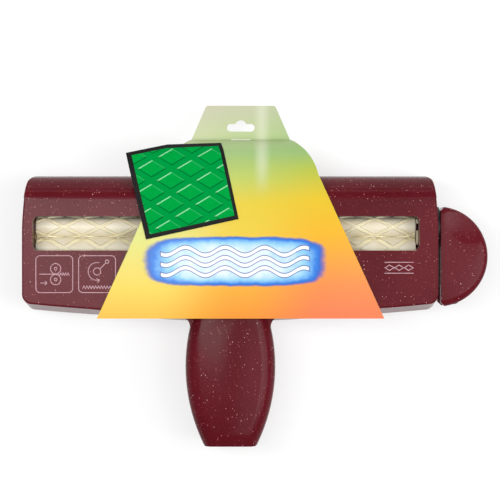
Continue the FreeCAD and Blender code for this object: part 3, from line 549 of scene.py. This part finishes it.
def make_soft_shading():
    """Modifier nodes that shade smooth, and keep an edge sharp where it turns by a wide angle."""
    group = bpy.data.node_groups.new("soft_shading", "GeometryNodeTree")
    for way in ("INPUT", "OUTPUT"):
        group.interface.new_socket("Geometry", in_out=way, socket_type="NodeSocketGeometry")
    nodes, links = group.nodes, group.links
    start, end = nodes.new("NodeGroupInput"), nodes.new("NodeGroupOutput")
    angle = nodes.new("GeometryNodeInputMeshEdgeAngle")
    sharp = nodes.new("FunctionNodeCompare")
    sharp.operation = "GREATER_THAN"
    sharp.inputs["B"].default_value = SHARP_ANGLE
    faces = nodes.new("GeometryNodeSetShadeSmooth")
    edges = nodes.new("GeometryNodeSetShadeSmooth")
    edges.domain = "EDGE"
    edges.inputs["Shade Smooth"].default_value = False
    links.new(start.outputs[0], faces.inputs["Geometry"])
    links.new(angle.outputs["Unsigned Angle"], sharp.inputs["A"])
    links.new(faces.outputs["Geometry"], edges.inputs["Geometry"])
    links.new(sharp.outputs["Result"], edges.inputs["Selection"])
    links.new(edges.outputs["Geometry"], end.inputs[0])
    return group


SOFT_SHADING = make_soft_shading()


def soften(piece, material):
    """Gives a piece its material, and rounds its shading where its faces meet softly."""
    piece.data.materials.clear()
    piece.data.materials.append(material)
    weld = piece.modifiers.new("weld", "WELD")
    weld.merge_threshold = WELD_DISTANCE
    shading = piece.modifiers.new("soften", "NODES")
    shading.node_group = SOFT_SHADING


def add_object(name, data):
    """Makes an object of a mesh, a light or a camera, and puts it in the scene."""
    made = bpy.data.objects.new(name, data)
    bpy.context.scene.collection.objects.link(made)
    return made


def piece_from(name, points, faces, material, body):
    """Makes a piece from an array of points and one of faces, and puts it on its body."""
    mesh = bpy.data.meshes.new(name)
    mesh.from_pydata(points.tolist(), [], faces.tolist())
    mesh.update()
    mesh.materials.append(material)
    piece = add_object(name, mesh)
    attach(piece, body)
    return piece


def cut_mesh(mesh, place, direction, clear):
    """Cuts a mesh by the plane square to a direction, and may clear what lies past it."""
    everything = mesh.verts[:] + mesh.edges[:] + mesh.faces[:]
    bmesh.ops.bisect_plane(mesh, geom=everything, plane_co=place, plane_no=direction, clear_outer=clear)


def ramp_up(values, start, end):
    """0 at start and 1 at end, whichever is larger, and even between them."""
    return np.clip((values - start) / (end - start), 0, 1)


def bent_sheet(name, node, plan, drop, thickness, material, top_bend):
    """A sheet on the card's front, from a grid of places, cut to the CAD sheet's outline.

    Its radius about the fold reaches to the node's top less the drop. Its height over the fold is
    that radius, and past the bend the root of the squared radius less the squared way past the
    bend. One corner more lifts the middle of the outline's top edge.
    """
    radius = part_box(node)[1][2] - FOLD_Z - drop
    past = np.clip(plan[..., 1] - BEND_Y, 0, radius * BEND_SHARE)
    height = FOLD_Z + np.sqrt(radius ** 2 - past ** 2)
    points = np.concatenate([plan, height[..., None]], -1).reshape(-1, 3)
    rows, columns = plan.shape[:2]
    first = (np.arange(rows - 1)[:, None] * columns + np.arange(columns - 1)).ravel()
    faces = np.stack([first, first + columns, first + columns + 1, first + 1], 1)
    piece = piece_from(name, points, faces, material, "card")
    places = [Vector(vertex.co.xy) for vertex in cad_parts[node].data.vertices]
    places.append(Vector(top_bend))
    outline = [places[index] for index in convex_hull_2d(places)]
    sheet = bmesh.new()
    sheet.from_mesh(piece.data)
    for corner, following in zip(outline, outline[1:] + outline[:1]):
        side = following - corner
        cut_mesh(sheet, (*corner, 0), (side.y, -side.x, 0), clear=True)
    sheet.to_mesh(piece.data)
    sheet.free()
    wall = piece.modifiers.new("thickness", "SOLIDIFY")
    wall.thickness = thickness
    wall.offset = -1
    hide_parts(node)


def crimped_sample(material):
    """The sample's relief: flat-topped diamonds between lower bands, bent back with the card.

    A grid along the two ways of the diamonds' sides has its lines where the height changes. Its
    height is that of the top, less the relief where either share of a cell's side is past the top.
    """
    half_top = DIAMOND_TOP / 2
    steps = [-0.5, -DIAMOND_FOOT, -DIAMOND_TOP, -half_top, 0, half_top, DIAMOND_TOP, DIAMOND_FOOT]
    shares = (np.arange(-SAMPLE_CELLS, SAMPLE_CELLS + 1)[:, None] + np.array(steps)).ravel()
    down, up = np.meshgrid(shares, shares, indexing="ij")
    plan = np.stack([down, up], -1) @ DIAMOND_SIDES.T + [DIAMOND_X, DIAMOND_Y]
    off_middle = np.maximum(abs(down - np.round(down)), abs(up - np.round(up)))
    drop = RELIEF * ramp_up(off_middle, DIAMOND_TOP, DIAMOND_FOOT)
    bent_sheet("crimped_sample", "sample_sheet", plan, drop, PAPER_THICKNESS, material,
               SAMPLE_TOP_BEND)


def sample_backing(material):
    """The black mount behind the sample: a plain grid whose lines run up and across the card."""
    low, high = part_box("sample_mount")
    columns = np.linspace(low[0], high[0], MOUNT_COLUMNS)
    rows = np.linspace(low[1], high[1], MOUNT_ROWS)
    plan = np.stack(np.meshgrid(columns, rows, indexing="ij"), -1)
    bent_sheet("sample_backing", "sample_mount", plan, 0.0, MOUNT_THICKNESS, material,
               MOUNT_TOP_BEND)


def full_shell(name, node, material):
    """A copy of a shell whose foot drops towards its ends, and whose sides lean in at the top.

    Past a reach from the middle, the drop is the gain of the squared distance times the bow. The
    foot also leans out evenly from the face down to the parting line. Both fade out above the
    foot, and higher up at the ends than beside the screw posts. The sides move in by a power of
    the height over a start, and the mesh is first cut level so that they can bow.
    """
    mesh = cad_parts[node].data.copy()
    merged = bmesh.new()
    merged.from_mesh(mesh)
    bmesh.ops.remove_doubles(merged, verts=merged.verts[:], dist=WELD_DISTANCE)
    for level in np.linspace(LEAN_START, LEAN_START + LEAN_HEIGHT, LEAN_CUTS):
        cut_mesh(merged, (0, BODY_MIDDLE[1] + level, 0), (0, 1, 0), clear=False)
    merged.to_mesh(mesh)
    merged.free()
    points = np.empty(len(mesh.vertices) * 3)
    mesh.vertices.foreach_get("co", points)
    points = points.reshape(-1, 3)
    from_middle = points[:, 0] - BODY_MIDDLE[0]
    upwards = points[:, 1] - BODY_MIDDLE[1]
    out = abs(from_middle)
    drop = np.clip(out ** 2 - FOOT_REACH ** 2, 0, None) * FOOT_BOW
    draft = ramp_up(points[:, 2], FACE_Z, PARTING_Z) * ramp_up(out, DRAFT_START, DRAFT_END) * FOOT_DRAFT
    foot_line = FOOT_LINE + FOOT_LINE_RISE * ramp_up(out, FOOT_RISE_START, FOOT_RISE_END)
    height = np.clip((upwards - LEAN_START) / LEAN_HEIGHT, 0, None)
    lean = SIDE_LEAN * height ** LEAN_POWER * ramp_up(out, SIDE_START, SIDE_END)
    points[:, 0] -= np.sign(from_middle) * lean
    points[:, 1] -= (drop + draft) * ramp_up(upwards, foot_line, foot_line - FOOT_FADE)
    mesh.vertices.foreach_set("co", points.ravel())
    mesh.update()
    piece = add_object(name, mesh)
    soften(piece, material)
    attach(piece, "casing")
    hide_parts(node)


def ribbon(path, width, closed):
    """A flat printed line: four corners of a thin section carried along a path.

    At each point the section stands square to the mean of the two ways there. Its width is divided
    by the cosine between the mean and either way, so that the line keeps its width round a corner.
    """
    path = np.asarray(path, float)
    if closed:
        after, before = np.roll(path, -1, 0), np.roll(path, 1, 0)
    else:
        after = np.vstack([path[1:], 2 * path[-1] - path[-2]])
        before = np.vstack([2 * path[0] - path[1], path[:-1]])
    way_in, way_out = path - before, after - path
    way_in = way_in / np.linalg.norm(way_in, axis=1, keepdims=True)
    way_out = way_out / np.linalg.norm(way_out, axis=1, keepdims=True)
    mean = way_in + way_out
    mean = mean / np.linalg.norm(mean, axis=1, keepdims=True)
    stretch = np.clip((mean * way_in).sum(1, keepdims=True), 0.5, 1)
    side = np.stack([-mean[:, 1], mean[:, 0]], 1) * width / 2 / stretch
    count = len(path)
    corners = np.empty((count, 4, 3))
    corners[:, 0, :2] = corners[:, 3, :2] = path - side
    corners[:, 1, :2] = corners[:, 2, :2] = path + side
    corners[:, :2, 2] = 0
    corners[:, 2:, 2] = PRINT_HEIGHT
    steps = np.arange(count if closed else count - 1)
    here, there = steps * 4, (steps + 1) % count * 4
    sides = [(0, 1), (1, 2), (2, 3), (3, 0)]
    quads = [np.stack([here + one, here + two, there + two, there + one], 1) for one, two in sides]
    faces = np.vstack(quads)
    if not closed:
        last = (count - 1) * 4
        faces = np.vstack([faces, [[3, 2, 1, 0]], [[last, last + 1, last + 2, last + 3]]])
    return corners.reshape(-1, 3), faces


def strokes(outlines, lines):
    """Thin ribbons along closed outlines and along open lines."""
    closed_ribbons = [ribbon(path, ICON_LINE, closed=True) for path in outlines]
    return closed_ribbons + [ribbon(path, ICON_LINE, closed=False) for path in lines]


def circle(x, y, radius, start=0.0, end=2 * math.pi, count=48):
    """Points round a circle or along an arc: the centre plus radius times cosine and sine."""
    turn = np.linspace(start, end, count, endpoint=end - start < 2 * math.pi)
    return np.stack([x + radius * np.cos(turn), y + radius * np.sin(turn)], 1)


def icon_frame():
    """The square frame round a drawing, with a quarter circle at each corner."""
    reach = ICON_HALF - ICON_ROUNDING
    corners = [(reach, reach), (-reach, reach), (-reach, -reach), (reach, -reach)]
    arcs = []
    for quarter, (x, y) in enumerate(corners):
        start = quarter * math.pi / 2
        arcs.append(circle(x, y, ICON_ROUNDING, start, start + math.pi / 2, 10))
    return ribbon(np.vstack(arcs), FRAME_LINE, closed=True)


def zigzag(start, end, height, teeth):
    """A crimped line: a straight run with every other point lifted sideways."""
    count = 2 * teeth + 1
    start, end = np.array(start), np.array(end)
    run = start + (end - start) * np.linspace(0, 1, count)[:, None]
    along = (end - start) / np.linalg.norm(end - start)
    lift = np.where(np.arange(count) % 2, height / 2, -height / 2)[:, None]
    return run + np.array([-along[1], along[0]]) * lift


def feed_icon():
    """A sheet on its way in between two rollers, with an arrow beside it."""
    roller, roller_x = 0.0032, 0.0008
    outlines = []
    for side in (-1, 1):
        outlines.append(circle(roller_x, side * roller, roller * 0.94))
        outlines.append(circle(roller_x, side * roller, roller * 0.25, count=16))
    lines = [
        [(-0.0088, 0), (0.0, 0)],
        zigzag((0.0016, 0), (0.0088, 0), 0.0014, 5),
        [(-0.0082, -0.0052), (-0.0042, -0.0052)],
        [(-0.0055, -0.0040), (-0.0042, -0.0052), (-0.0055, -0.0064)],
    ]
    return [icon_frame()] + strokes(outlines, lines)


def turn_icon():
    """A crank drawn end on, with an arrow round it, over a crimped sheet."""
    hub_y = 0.0016
    outlines = [circle(0, hub_y, 0.0021, count=24), circle(0.0059, 0.0073, 0.0010, count=16)]
    lines = [
        [(0.0016, 0.0030), (0.0052, 0.0066)],
        circle(0, hub_y, 0.0052, math.radians(75), math.radians(285)),
        [(0.0002, -0.0050), (0.0015, -0.0034), (-0.0005, -0.0026)],
        zigzag((-0.0085, -0.0077), (0.0085, -0.0077), 0.0016, 10),
    ]
    return [icon_frame()] + strokes(outlines, lines)


def crimp_mark():
    """A small plain mark: three diamonds in a row between two lines."""
    pitch, half_width, half_height = 0.0056, 0.0026, 0.0016
    diamonds = [[(x - half_width, 0), (x, -half_height), (x + half_width, 0), (x, half_height)]
                for x in (-pitch, 0, pitch)]
    lines = [[(-0.0085, y), (0.0085, y)] for y in (-0.0032, 0.0032)]
    return strokes(diamonds, lines)


def place_print(name, ribbons, pixel, material):
    """Puts printed lines, drawn round their own middle, on the casing's face at a pixel."""
    points, faces, count = [], [], 0
    for ribbon_points, ribbon_faces in ribbons:
        points.append(ribbon_points)
        faces.append(ribbon_faces + count)
        count += len(ribbon_points)
    middle = np.array([*photo_place(pixel), FACE_Z])
    piece_from(name, np.vstack(points) + middle, np.vstack(faces), material, "casing")


def make_camera():
    """Straight down on the face, with the lens that gives the photograph's width there."""
    camera = bpy.data.cameras.new("camera")
    camera.sensor_width = SENSOR_WIDTH
    camera.lens = SENSOR_WIDTH * (CAMERA_PLACE[2] - PHOTO_PLANE_Z) / PHOTO_WIDTH
    camera.clip_end = CAMERA_REACH
    holder = add_object("camera", camera)
    holder.location = CAMERA_PLACE
    bpy.context.scene.camera = holder


def make_light(name, place, target, size, watts):
    """A soft light from a rectangle that faces a point."""
    light = bpy.data.lights.new(name, "AREA")
    light.shape = "RECTANGLE"
    light.size, light.size_y = size
    light.energy = watts
    holder = add_object(name, light)
    holder.location = place
    away = Vector(np.subtract(place, target))
    holder.rotation_euler = away.to_track_quat("Z", "Y").to_euler()


def make_studio():
    """A pale floor, an even pale sky and four soft lights."""
    mesh = bpy.data.meshes.new("floor")
    corners = [(-FLOOR_REACH, -FLOOR_REACH, 0), (FLOOR_REACH, -FLOOR_REACH, 0),
               (FLOOR_REACH, FLOOR_REACH, 0), (-FLOOR_REACH, FLOOR_REACH, 0)]
    mesh.from_pydata(corners, [], [(0, 1, 2, 3)])
    paint = Paint("pale_floor", Roughness=0.9, Base_Color=(0.35, 0.35, 0.35, 1),
                  Emission_Color=(1, 1, 1, 1), Emission_Strength=0.65)
    mesh.materials.append(paint.material)
    add_object("floor", mesh)
    world = bpy.data.worlds.new("studio")
    world.use_nodes = True
    sky = world.node_tree.nodes["Background"]
    sky.inputs["Color"].default_value = (1, 1, 1, 1)
    sky.inputs["Strength"].default_value = WORLD_STRENGTH
    bpy.context.scene.world = world
    for name, settings in LIGHTS.items():
        make_light(name, *settings)


maroon = maroon_plastic()
upper_cream = roller_plastic("upper_roller_plastic", "upper_roller", band=0.0009, edge_shade=0.7)
lower_cream = roller_plastic("lower_roller_plastic", "lower_roller", band=0.0011, edge_shade=0.4)
bracket_cream = cream_plastic("cream_bracket_plastic", rgb(230, 220, 188), rgb(216, 202, 162))
steel = turned_metal("zinc_plated_steel", rgb(206, 208, 212), rgb(168, 170, 176), rough=0.25)
black_steel = turned_metal("blackened_steel", rgb(40, 40, 42), rgb(22, 22, 24), rough=0.35)
nylon = plain_plastic("white_nylon", rgb(236, 236, 230), rgb(220, 220, 212), rough=0.4)
black_plastic = plain_plastic("black_plastic", rgb(32, 32, 34), rgb(24, 24, 26), rough=0.4)
card = card_print()
black_card = paper("black_card", rgb(26, 25, 26), rgb(16, 15, 16))
green_paper = crimped_paper()
ink = print_ink()

finishes = {
    "front_shell": maroon, "back_shell": maroon, "crank_grip": maroon,
    "upper_roller": upper_cream, "lower_roller": lower_cream,
    "left_bearing_bracket": bracket_cream, "right_bearing_bracket": bracket_cream,
    "shell_screws": steel, "bracket_screws": steel, "crank_screw": steel, "crank_washer": steel,
    "crank_hinge_pin": steel, "drive_shaft": black_steel, "idler_shaft": black_steel,
    "drive_gear": nylon, "idler_gear": nylon, "thrust_washers": nylon,
    "crank_arm": black_plastic, "hang_card": card, "sample_mount": black_card, "sample_sheet": green_paper,
}
for node, material in finishes.items():
    soften(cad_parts[node], material)

crimped_sample(green_paper)
sample_backing(black_card)
full_shell("full_front_shell", "front_shell", maroon)
full_shell("full_back_shell", "back_shell", maroon)
place_print("feeding_print", feed_icon(), FEEDING_PIXEL, ink)
place_print("turning_print", turn_icon(), TURNING_PIXEL, ink)
place_print("crimp_print", crimp_mark(), CRIMP_PIXEL, ink)

make_camera()
make_studio()
bpy.context.scene.view_settings.view_transform = "Standard"
